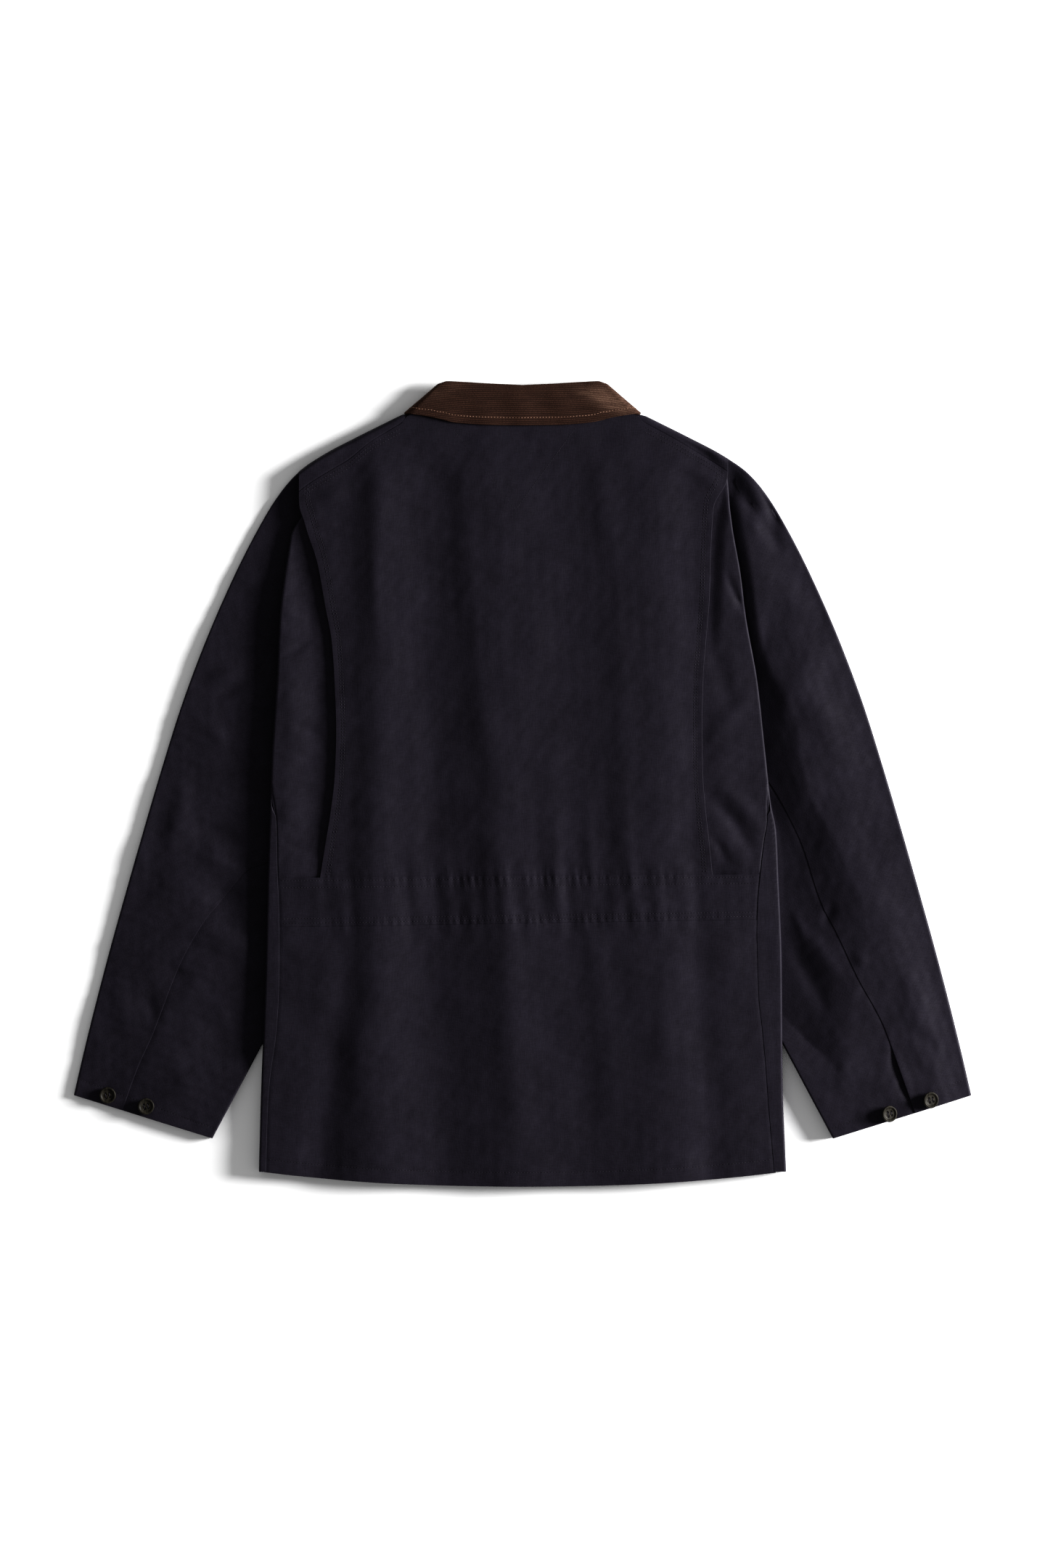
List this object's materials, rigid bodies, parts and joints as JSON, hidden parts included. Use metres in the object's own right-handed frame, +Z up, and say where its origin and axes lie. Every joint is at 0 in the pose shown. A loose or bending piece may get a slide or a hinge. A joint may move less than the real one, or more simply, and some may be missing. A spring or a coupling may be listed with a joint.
{
  "type": "waxed cotton jacket",
  "caption": "Hip-length waxed cotton jacket laid flat on its front, with a corduroy collar, action-back pleats, a waist casing and buttoned cuffs",
  "frame": {"origin": "centre of the jacket on the surface it lies on", "axes": "+X to the wearer's right sleeve, +Y to the collar, +Z up out of the jacket's back"},
  "size_m": [0.9148, 0.8202, 0.0213],
  "materials": {
    "waxed_cotton": "matte, slightly waxy",
    "corduroy": "matte pile",
    "horn_button": "satin"
  },
  "bodies": {
    "root": {"front_left": "waxed_cotton", "front_right": "waxed_cotton", "back_panel": "waxed_cotton", "back_side_left": "waxed_cotton", "back_side_right": "waxed_cotton", "waistband": "waxed_cotton", "back_skirt": "waxed_cotton", "sleeve_left_top": "waxed_cotton", "sleeve_left_under": "waxed_cotton", "sleeve_right_top": "waxed_cotton", "sleeve_right_under": "waxed_cotton", "collar_fall": "corduroy", "collar_stand": "corduroy", "button_left_1": "horn_button", "button_left_2": "horn_button", "button_right_1": "horn_button", "button_right_2": "horn_button"}
  },
  "joints": []
}
